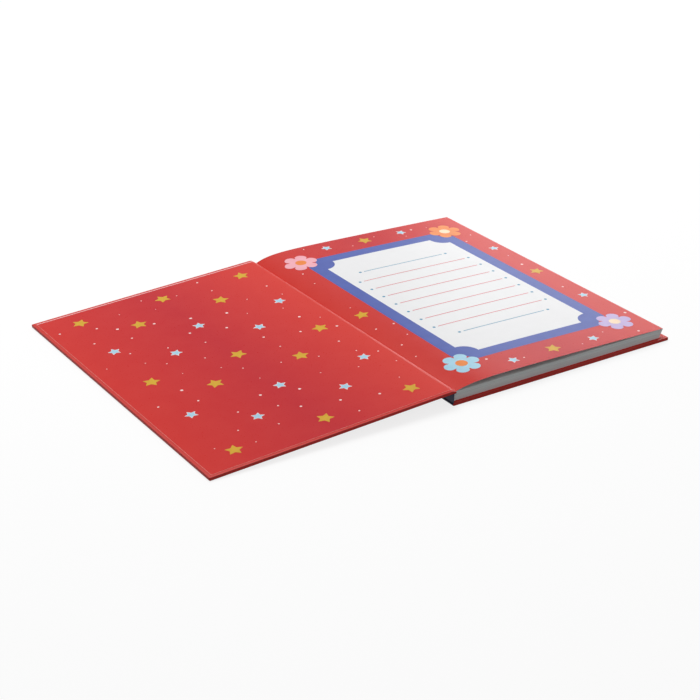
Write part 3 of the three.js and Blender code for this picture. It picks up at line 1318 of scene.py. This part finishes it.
@dataclass
class BackCover:
    """The back cover, flat on the surface, with its endpaper.

    Attributes:
        reach: Where its fore-edge is.
        back: Where its spine edge is.
        shelf: Height of the turned-in wrap.
        nose: Radius of the spine edge.
    """

    reach: float = 211.0
    back: float = -3.95
    shelf: float = 2.4
    nose: float = 1.2

    def wrap(self, finishes: Finishes) -> bpy.types.Object:
        """Model the printed wrap round the back board.

        Args:
            finishes: The book's materials.

        Returns:
            The finished piece.
        """
        centre = self.back + self.nose
        points = [spot(self.reach, 0.0, 0.0), spot(self.reach, 0.0, self.shelf)]
        for step in range(11):
            angle = math.pi * step / 10
            across = centre - self.nose * math.sin(angle)
            points.append(spot(across, 0.0, self.nose + self.nose * math.cos(angle)))
        shift = spot(ROW_SHIFT, -COVER_HALF, 0.0)
        piece = Bench.prism("back_wrap_shell", [point + shift for point in points], 2 * COVER_HALF)
        fore = (self.reach + ROW_SHIFT) * MM
        corner = fore - 1e-5
        ends = COVER_HALF * MM - 1e-6
        Bench.round_edges(
            piece,
            lambda a, b: a.x > corner and b.x > corner and abs(a.y - b.y) < 1e-6,
            CORNER_ROUND,
            4,
        )
        Bench.round_edges(piece, lambda a, b: self.on_rim(a, b, fore, ends), EDGE_ROUND, 3)
        Bench.open(piece)
        inner = (COVER_HALF - TURN_IN) * MM
        limit = fore - TURN_IN * MM
        Bench.cut([Vector((0.0, inner, 0.0)), Vector((0.0, -inner, 0.0))], Vector((0.0, 1.0, 0.0)))
        places = [Vector((limit, 0.0, 0.0)), Vector((0.0, 0.0, 0.0)), spot(5.0, 0.0, 0.0)]
        Bench.cut(places, Vector((1.0, 0.0, 0.0)))
        Bench.close()
        Bench.pick_faces(
            piece,
            lambda middle, normal: normal.z > 0.9 and abs(middle.y) < inner and 0.0 < middle.x < limit,
        )
        bpy.ops.mesh.delete(type="FACE")
        Bench.close()
        Bench.modify(piece, "SOLIDIFY", thickness=WRAP_SHEET * MM, offset=-1.0, use_even_offset=True)
        Bench.dress(piece, finishes.case_print, finishes.navy, finishes.case_rim_painted_shade)
        Bench.paint(piece, 1, lambda middle, normal: middle.x < -0.0028 and abs(normal.y) < 0.7)
        top = (self.shelf - 0.02) * MM
        # The rounded fold along the upper rim gets the darker red of painted shade.
        Bench.paint(piece, 2, lambda middle, normal: middle.x > -0.0028 and self.is_fold(middle, normal, top))
        Bench.soften(piece, 40.0)
        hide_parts("back_wrap")
        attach(piece, "back_cover")
        return piece

    def on_rim(self, start: Vector, end: Vector, fore: float, ends: float) -> bool:
        """Tell whether an edge runs along the cover's rim.

        Args:
            start: One end of the edge.
            end: Its other end.
            fore: Where the fore-edge is, in metres.
            ends: Just under half of the cover's height, in metres.

        Returns:
            True for an edge round the inner or the outer face.
        """
        level = abs(start.z - end.z) < 1e-6
        flat = level and (start.z < 1e-5 or start.z > self.shelf * MM - 1e-5)
        right = start.x > fore - 0.0013 and end.x > fore - 0.0013 and flat
        side = abs(start.y) > ends and abs(end.y) > ends and start.y * end.y > 0
        return right or side

    @staticmethod
    def is_fold(middle: Vector, normal: Vector, top: float) -> bool:
        """Tell whether a face belongs to the rounded fold along the upper rim."""
        return 0.2 < normal.z < 0.97 and middle.z > top - 0.0006

    def endpaper(self, finishes: Finishes) -> bpy.types.Object:
        """Model the endpaper that is pasted on the back cover.

        Args:
            finishes: The book's materials.

        Returns:
            The finished piece.
        """
        places = (-0.3, 1.5, 20.0, 100.0, 190.0, 207.6, 208.0)
        points = [spot(x + ROW_SHIFT, -PAGE_HALF, 2.6) for x in places]
        stops = [-PAGE_HALF, -148.1, -80.0, 0.0, 80.0, 147.8, PAGE_HALF]
        piece = Bench.sheet("back_pastedown_sheet", points, stops, PASTED_SHEET)
        Bench.dress(piece, finishes.right_print, finishes.core, finishes.painted_edge_highlight)
        Bench.paint(piece, 1, lambda middle, normal: normal.z < -0.3)
        # The endpaper's side faces get the lighter red of a painted highlight.
        Bench.paint(piece, 2, lambda middle, normal: abs(normal.y) > 0.7 or abs(normal.x) > 0.7)
        Bench.soften(piece, 50.0)
        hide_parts("back_pastedown")
        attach(piece, "back_cover")
        return piece

    def gutter(self, finishes: Finishes) -> bpy.types.Object:
        """Model the back endpaper's fold, shut between the pages and the cover.

        Args:
            finishes: The book's materials.

        Returns:
            The finished piece.
        """
        upper = [(0.9, 2.692), (-0.1, 2.69), (-1.3, 2.674), (-2.1, 2.662)]
        lower = [(-2.6, 2.65), (-2.1, 2.638), (-1.3, 2.626), (-0.1, 2.61), (0.9, 2.608)]
        piece = Bench.chain("back_gutter_fold", [spot(x, -PAGE_HALF, z) for x, z in upper + lower])
        Bench.pull(piece, [spot(0.0, PAGE_HALF / 3, 0.0)] * 6)
        Bench.close()
        Bench.dress(piece, finishes.right_print)
        Bench.soften(piece, 180.0)
        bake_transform(piece)
        return piece

    def leaf(self, finishes: Finishes) -> bpy.types.Object:
        """Model the back leaf, under the pages.

        Args:
            finishes: The book's materials.

        Returns:
            The finished piece.
        """
        points = [spot(x + ROW_SHIFT, -PAGE_HALF, 2.85) for x in (1.0, 20.0, 100.0, 190.0, 202.6, 203.0)]
        stops = [PAGE_HALF * (step / 3 - 1) for step in range(7)]
        piece = Bench.sheet("back_leaf", points, stops, WRAP_SHEET)
        Bench.dress(piece, finishes.core, finishes.right_print)
        Bench.paint(piece, 1, lambda middle, normal: normal.z < -0.5)
        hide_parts("back_flyleaf")
        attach(piece, "book_block")
        return piece


class Printer:
    """Draws the printed shapes as thin films of ink."""

    def __init__(self, finishes: Finishes) -> None:
        """Keep the book's materials and start the count of films.

        Args:
            finishes: The book's materials.
        """
        self.finishes = finishes
        self.count = 0

    def name(self, kind: str) -> str:
        """Give a new film its name."""
        self.count += 1
        return f"{kind}_{self.count:03d}"

    def shape(self, ink: Ink, corners: Sequence[tuple[float, float]]) -> bpy.types.Object:
        """Draw one flat film of ink.

        Args:
            ink: Its colour.
            corners: Its corners, in millimetres across and along the page.

        Returns:
            The film, lying at height 0.
        """
        piece = Bench.outline(self.name(ink.value), [spot(x, y, 0.0) for x, y in corners])
        Bench.close()
        Bench.face_up(piece)
        Bench.dress(piece, self.finishes.inks[ink])
        return piece

    def star(self, ink: Ink, motif: Motif) -> bpy.types.Object:
        """Draw a five-pointed star with slightly soft tips.

        Args:
            ink: Its colour.
            motif: Its size and place.

        Returns:
            The film.
        """
        Bench.clear()
        place = spot(motif.across, motif.along, 0.0)
        bpy.ops.mesh.primitive_circle_add(vertices=10, radius=motif.size * MM, fill_type="NGON")
        piece = bpy.context.object
        piece.name = self.name("star")
        inner = [index for index in range(10) if index % 2]
        Bench.take(piece)
        places = [vertex.co.copy() for vertex in piece.data.vertices]
        hollows = [places[index] for index in inner]
        Bench.pick_vertices(
            piece,
            lambda corner: any((corner - hollow).length < 1e-7 for hollow in hollows),
        )
        bpy.ops.transform.resize(value=(0.5, 0.5, 1.0), center_override=(0.0, 0.0, 0.0))
        bpy.ops.mesh.select_all(action="SELECT")
        bpy.ops.mesh.bevel(offset=motif.size * MM * 0.06, segments=1, affect="VERTICES")
        Bench.close()
        Bench.settle(piece, place, (0.0, 0.0, math.radians(motif.turn)))
        Bench.face_up(piece)
        Bench.dress(piece, self.finishes.inks[ink])
        return piece

    def edged_star(self, motif: Motif) -> list[bpy.types.Object]:
        """Draw a pale-blue star on a slightly larger white one.

        Args:
            motif: Its size and place.

        Returns:
            The two films, the lower one first.
        """
        under = self.star(Ink.MILK, Motif(motif.across, motif.along, motif.size + 0.9, motif.turn))
        over = self.star(Ink.SKY, motif)
        Bench.settle(over, spot(0.0, 0.0, 0.015))
        return [under, over]

    def dot(self, ink: Ink, motif: Motif) -> bpy.types.Object:
        """Draw a round dot.

        Args:
            ink: Its colour.
            motif: Its size and place.

        Returns:
            The film.
        """
        Bench.clear()
        place = spot(motif.across, motif.along, 0.0)
        size = motif.size * MM
        bpy.ops.mesh.primitive_circle_add(vertices=14, radius=size, fill_type="NGON", location=place)
        piece = bpy.context.object
        piece.name = self.name("dot")
        Bench.settle(piece)
        Bench.face_up(piece)
        Bench.dress(piece, self.finishes.inks[ink])
        return piece


@dataclass
class LeftPagePrint:
    """An even half-drop pattern of stars, with dots between them, on the front cover's endpaper.

    Attributes:
        columns: Where the columns of stars stand, from the gutter.
        pitch: Distance between two stars in a column.
        margin: The furthest that a star stands from the page's middle.
        large: Radius of the gold stars.
        small: Radius of the pale-blue stars.
        dots: The number of dots.
    """

    columns: tuple[float, ...] = (26.0, 64.0, 102.0, 140.0, 178.0)
    pitch: float = 64.0
    margin: float = 136.0
    large: float = 7.2
    small: float = 4.8
    dots: int = 62

    def lattice(self) -> tuple[list[Motif], list[Motif]]:
        """Give the large and the small stars, which take turns along each column."""
        large = []
        small = []
        for column, across in enumerate(self.columns):
            for row in range(-2, 3):
                along = self.pitch * (row + 0.5 * (column % 2))
                turn = 31.0 * (5 * column + row) % 72.0
                if abs(along) > self.margin:
                    continue
                if (column + row) % 2 == 0:
                    large.append(Motif(across, along, self.large, turn))
                else:
                    small.append(Motif(across, along, self.small, turn))
        return large, small

    def scatter(self, stars: Sequence[Motif]) -> list[Motif]:
        """Spread the dots evenly but loosely, clear of the stars.

        Args:
            stars: The stars that they stay clear of.

        Returns:
            The dots.
        """
        made = []
        step = 0
        while len(made) < self.dots:
            step += 1
            first, second, third = drift(step)
            across = 8.0 + 194.0 * first
            along = -142.0 + 284.0 * second
            if all(math.hypot(across - star.across, along - star.along) > star.size + 4.0 for star in stars):
                made.append(Motif(across, along, 0.45 + 0.85 * third**1.6))
        return made

    def draw(self, printer: Printer, cover: OpenFrontCover) -> bpy.types.Object:
        """Draw all the films and lay them on the endpaper.

        Args:
            printer: Draws the films.
            cover: The cover that they lie on.

        Returns:
            The joined films.
        """
        films = []
        large, small = self.lattice()
        for motif in large:
            films.append(printer.star(Ink.GOLD, self.mirrored(motif)))
        for motif in small:
            films += printer.edged_star(self.mirrored(motif))
        for motif in self.scatter(large + small):
            films.append(printer.dot(Ink.MILK, self.mirrored(motif)))
        piece = Bench.gather("left_page_print", films)
        Bench.settle(piece, spot(0.0, 0.0, cover.half_thickness + 0.03))
        cover.lay(piece)
        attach(piece, "front_cover")
        return piece

    @staticmethod
    def mirrored(motif: Motif) -> Motif:
        """Place a motif to the left of the gutter."""
        return Motif(-motif.across, motif.along, motif.size, motif.turn)


@dataclass
class RightPagePrint:
    """The generic design on the first leaf: a framed name plate, flowers on its corners and stars.

    Attributes:
        plate_left: The plate's edge near the gutter.
        plate_right: Its edge near the fore-edge.
        plate_half: Half of its height.
        frame: Width of the frame round it.
        notch: Radius of its hollow corners.
        ruled: Number of ruled lines on it.
        pitch: Distance between two ruled lines.
        flower: Radius of a flower.
        dots: How many places are tried for dots.
    """

    plate_left: float = 40.0
    plate_right: float = 170.0
    plate_half: float = 106.0
    frame: float = 12.0
    notch: float = 13.0
    ruled: int = 9
    pitch: float = 18.0
    flower: float = 15.5
    dots: int = 110

    def plate(self, grow: float) -> list[tuple[float, float]]:
        """Give the outline of the plate, a rectangle with hollow round corners.

        Args:
            grow: How far each edge lies outside the plate's own.

        Returns:
            The outline.
        """
        left = self.plate_left - grow
        right = self.plate_right + grow
        half = self.plate_half + grow
        corners = [(right, half, 180.0), (left, half, 270.0), (left, -half, 0.0), (right, -half, 90.0)]
        points = []
        for x, y, start in corners:
            for step in range(9):
                angle = math.radians(start + 90.0 - 90.0 * step / 8)
                points.append((x + self.notch * math.cos(angle), y + self.notch * math.sin(angle)))
        return points

    def corners(self) -> list[tuple[float, float]]:
        """Give the four corners of the frame, where the flowers are."""
        left = self.plate_left - self.frame
        right = self.plate_right + self.frame
        half = self.plate_half + self.frame
        return [(left, half), (right, half), (left, -half), (right, -half)]

    def lines(self, printer: Printer) -> list[bpy.types.Object]:
        """Draw the ruled lines, with a dot at each end.

        Args:
            printer: Draws the films.

        Returns:
            The films.
        """
        films = []
        for line in range(self.ruled):
            y = self.pitch * (self.ruled - 1) / 2 - self.pitch * line
            outer = line in (0, self.ruled - 1)
            left = self.plate_left + (24.0 if outer else 12.0)
            right = self.plate_right - (24.0 if outer else 12.0)
            ink = Ink.RULE if outer else Ink.ROSE
            films.append(printer.shape(ink, [(left, y), (right, y), (right, y + 0.9), (left, y + 0.9)]))
            for x in (left - 4.0, right + 4.0):
                films.append(printer.dot(Ink.RULE, Motif(x, y + 0.45, 1.3)))
        return films

    def stars(self) -> tuple[list[Motif], list[Motif]]:
        """Give the gold stars and the pale-blue ones, evenly round the frame."""
        middle = (self.plate_left + self.plate_right) / 2
        gold = [Motif(middle, 134.0, 7.0, 12.0), Motif(middle, -134.0, 7.0, 40.0)]
        gold += [Motif(195.0, 0.0, 6.6, 25.0), Motif(14.0, 0.0, 6.6, 55.0)]
        pale = []
        for way in (-1.0, 1.0):
            pale.append(Motif(middle - 40.0, 135.0 * way, 4.4, 10.0))
            pale.append(Motif(middle + 40.0, 135.0 * way, 4.4, 30.0))
            pale.append(Motif(196.0, 62.0 * way, 4.2, 50.0))
        return gold, pale

    def scatter(self, stars: Sequence[Motif]) -> list[Motif]:
        """Spread the dots over the paper outside the frame, clear of the stars and flowers.

        Args:
            stars: The stars that they stay clear of.

        Returns:
            The dots.
        """
        taken = list(stars) + [Motif(x, y, self.flower) for x, y in self.corners()]
        gap = self.frame + 2.5
        made = []
        for step in range(1, self.dots):
            first, second, third = drift(step)
            x = 6.0 + 196.0 * first
            y = -144.0 + 288.0 * second
            framed = self.plate_left - gap < x < self.plate_right + gap and abs(y) < self.plate_half + gap
            clear = all(math.hypot(x - other.across, y - other.along) > other.size + 3.0 for other in taken)
            if clear and not framed:
                made.append(Motif(x, y, 0.45 + 0.85 * third**1.6))
        return made

    @staticmethod
    def petals(place: tuple[float, float], reach: float) -> list[tuple[float, float]]:
        """Give the outline of a flower with six round petals.

        Args:
            place: Its middle.
            reach: Its radius.

        Returns:
            The outline.
        """
        points = []
        for step in range(60):
            angle = math.radians(6.0 * step)
            out = reach * (0.61 + 0.39 * math.sqrt(abs(math.cos(3.0 * angle))))
            points.append((place[0] + out * math.cos(angle), place[1] + out * math.sin(angle)))
        return points

    def draw(self, printer: Printer, block: PageBlock) -> bpy.types.Object:
        """Draw all the films and drape them over the arched leaf.

        Args:
            printer: Draws the films.
            block: The pages that carry the leaf.

        Returns:
            The joined films.
        """
        layers = [
            (0.03, printer.shape(Ink.BLUE, self.plate(self.frame))),
            (0.045, printer.shape(Ink.PANEL, self.plate(0.0))),
        ]
        for film in self.lines(printer):
            layers.append((0.06, film))
        petal_inks = (Ink.PINK, Ink.ORANGE, Ink.SKY, Ink.LILAC)
        heart_inks = (Ink.ORANGE, Ink.CREAM, Ink.ORANGE, Ink.CREAM)
        for place, petal, heart in zip(self.corners(), petal_inks, heart_inks):
            layers.append((0.075, printer.shape(petal, self.petals(place, self.flower))))
            layers.append((0.09, printer.dot(heart, Motif(place[0], place[1], 5.0))))
        gold, pale = self.stars()
        for motif in gold:
            layers.append((0.03, printer.star(Ink.GOLD, motif)))
        for motif in pale:
            under, over = printer.edged_star(motif)
            layers += [(0.03, under), (0.045, over)]
        for motif in self.scatter(gold + pale):
            layers.append((0.03, printer.dot(Ink.MILK, motif)))
        films = []
        for height, film in layers:
            films.append(self.drape(film, block, height))
        piece = Bench.gather("right_page_print", films)
        Bench.soften(piece, 50.0)
        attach(piece, "book_block")
        block.press(piece)
        bpy.data.objects.remove(block.surface)
        return piece

    @staticmethod
    def drape(film: bpy.types.Object, block: PageBlock, height: float) -> bpy.types.Object:
        """Cut a film into narrow strips and lay it on the arched leaf.

        Args:
            film: The flat film.
            block: The pages that carry the leaf.
            height: The film's height above the paper, in millimetres.

        Returns:
            The draped film.
        """
        low = min(vertex.co.x for vertex in film.data.vertices)
        high = max(vertex.co.x for vertex in film.data.vertices)
        foot = min(vertex.co.y for vertex in film.data.vertices)
        peak = max(vertex.co.y for vertex in film.data.vertices)
        columns = [(x + ROW_SHIFT) * MM for x in block.columns() if low < (x + ROW_SHIFT) * MM < high]
        rows = [-0.1485 + 0.0099 * step for step in range(31) if foot < -0.1485 + 0.0099 * step < peak]
        Bench.open(film)
        Bench.cut([Vector((x, 0.0, 0.0)) for x in columns], Vector((1.0, 0.0, 0.0)))
        Bench.cut([Vector((0.0, y, 0.0)) for y in rows], Vector((0.0, 1.0, 0.0)))
        bpy.ops.mesh.select_all(action="SELECT")
        bpy.ops.transform.translate(value=(0.0, 0.0, 0.03))
        Bench.close()
        Bench.modify(
            film,
            "SHRINKWRAP",
            target=block.surface,
            wrap_method="PROJECT",
            use_project_z=True,
            use_negative_direction=True,
            use_positive_direction=False,
        )
        Bench.settle(film, spot(0.0, 0.0, height))
        return film


class Studio:
    """The floor, the lamps, the sky and the camera."""

    @staticmethod
    def floor() -> None:
        """Lay the pale floor, which looks white to the camera and keeps the shadow."""
        Bench.clear()
        bpy.ops.mesh.primitive_plane_add(size=30.0, location=(0.0, 0.0, 0.0))
        plane = bpy.context.object
        plane.name = "floor"
        recipe = Recipe("floor_paper")
        tree = recipe.tree
        shown = recipe.node("ShaderNodeBsdfDiffuse", Color=(1.0, 1.0, 1.0, 1.0))
        glow = recipe.node("ShaderNodeEmission", Color=(1.0, 1.0, 1.0, 1.0), Strength=1.0)
        seen = recipe.node("ShaderNodeMixShader", Fac=0.8)
        tree.links.new(shown.outputs[0], seen.inputs[1])
        tree.links.new(glow.outputs[0], seen.inputs[2])
        bounce = recipe.node("ShaderNodeBsdfDiffuse", Color=(0.3, 0.3, 0.3, 1.0))
        path = recipe.node("ShaderNodeLightPath")
        either = Studio.either(recipe.tree, path)
        final = recipe.node("ShaderNodeMixShader", Fac=either)
        tree.links.new(bounce.outputs[0], final.inputs[1])
        tree.links.new(seen.outputs[0], final.inputs[2])
        out = tree.nodes["Material Output"]
        tree.links.new(final.outputs[0], out.inputs["Surface"])
        tree.nodes.remove(recipe.shader)
        Bench.dress(plane, recipe.material)

    @staticmethod
    def either(tree: bpy.types.NodeTree, path: bpy.types.Node) -> bpy.types.NodeSocket:
        """Join the camera, glossy and transmission rays into one switch.

        Args:
            tree: The node tree.
            path: Its Light Path node.

        Returns:
            A socket that is 1 for any of the three.
        """
        first = tree.nodes.new("ShaderNodeMath")
        first.operation = "MAXIMUM"
        tree.links.new(path.outputs["Is Camera Ray"], first.inputs[0])
        tree.links.new(path.outputs["Is Glossy Ray"], first.inputs[1])
        second = tree.nodes.new("ShaderNodeMath")
        second.operation = "MAXIMUM"
        tree.links.new(first.outputs[0], second.inputs[0])
        tree.links.new(path.outputs["Is Transmission Ray"], second.inputs[1])
        return second.outputs[0]

    @staticmethod
    def sky() -> None:
        """Set a soft even sky, which looks white to the camera."""
        world = bpy.data.worlds.new("soft_sky")
        bpy.context.scene.world = world
        world.use_nodes = True
        tree = world.node_tree
        tree.nodes.clear()
        soft = tree.nodes.new("ShaderNodeBackground")
        soft.inputs["Strength"].default_value = 0.34
        white = tree.nodes.new("ShaderNodeBackground")
        white.inputs["Color"].default_value = (1.0, 1.0, 1.0, 1.0)
        white.inputs["Strength"].default_value = 1.0
        soft.inputs["Color"].default_value = (1.0, 1.0, 1.0, 1.0)
        mix = tree.nodes.new("ShaderNodeMixShader")
        path = tree.nodes.new("ShaderNodeLightPath")
        tree.links.new(Studio.either(tree, path), mix.inputs["Fac"])
        tree.links.new(soft.outputs[0], mix.inputs[1])
        tree.links.new(white.outputs[0], mix.inputs[2])
        out = tree.nodes.new("ShaderNodeOutputWorld")
        tree.links.new(mix.outputs[0], out.inputs["Surface"])

    @staticmethod
    def lamp(name: str, place: tuple[float, float, float], aim: Vector, size: float, power: float) -> None:
        """Hang one square soft lamp.

        Args:
            name: Its name.
            place: Where it hangs, in metres.
            aim: What it points at.
            size: Its side in metres.
            power: Its power in watts.
        """
        Bench.clear()
        bpy.ops.object.light_add(type="AREA", location=place)
        lamp = bpy.context.object
        lamp.name = name
        lamp.data.size = size
        lamp.data.energy = power
        lamp.rotation_euler = (aim - Vector(place)).to_track_quat("-Z", "Y").to_euler()

    @staticmethod
    def camera() -> None:
        """Set the camera at the photograph's viewing angle."""
        Bench.clear()
        place = (-0.693415, -1.073957, 0.593245)
        turn = (math.pi / 2 - 0.44397025, 0.0, -0.57494459)
        bpy.ops.object.camera_add(location=place, rotation=turn)
        camera = bpy.context.object
        camera.data.lens = 88.986
        camera.data.sensor_width = 36.0
        bpy.context.scene.camera = camera


def dress_hidden(finishes: Finishes) -> None:
    """Give the pieces that stay as drawn their materials.

    Args:
        finishes: The book's materials.
    """
    hidden = {
        "front_board": finishes.board,
        "back_board": finishes.board,
        "spine_card": finishes.board,
        "spine_gauze": finishes.gauze,
        "spine_lining": finishes.lining,
    }
    for name, material in hidden.items():
        Bench.dress(bpy.data.objects[name], material)


def main() -> None:
    """Build the book, print its endpapers and set up the studio."""
    logging.basicConfig(level=logging.INFO, format="%(name)s: %(message)s")
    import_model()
    finishes = Finishes()
    dress_hidden(finishes)
    cover = OpenFrontCover()
    block = PageBlock()
    bands = PageBands()
    spine = SpinePanel()
    back = BackCover()
    printer = Printer(finishes)
    pieces = [
        cover.wrap(finishes),
        cover.endpaper(finishes),
        block.block(finishes),
        block.leaf(finishes),
        bands.band("head_band_bead", "head_band", 1.0, finishes),
        bands.band("tail_band_bead", "tail_band", -1.0, finishes),
        spine.panel(finishes),
        spine.joint(finishes),
        back.wrap(finishes),
        back.endpaper(finishes),
        back.leaf(finishes),
        back.gutter(finishes),
        LeftPagePrint().draw(printer, cover),
        RightPagePrint().draw(printer, block),
    ]
    for piece in pieces:
        LOG.info("made %s", piece.name)
    Studio.floor()
    Studio.sky()
    Studio.lamp("key_lamp", (0.1, 0.75, 1.6), Vector((0.0, 0.1, 0.0)), 1.1, 23.5)
    Studio.lamp("sheen_lamp", (1.35, 1.05, 0.55), Vector((0.15, 0.0, 0.0)), 0.8, 4.5)
    Studio.camera()
    bpy.context.scene.view_settings.view_transform = "Standard"
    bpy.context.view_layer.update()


if __name__ == "__main__":
    main()
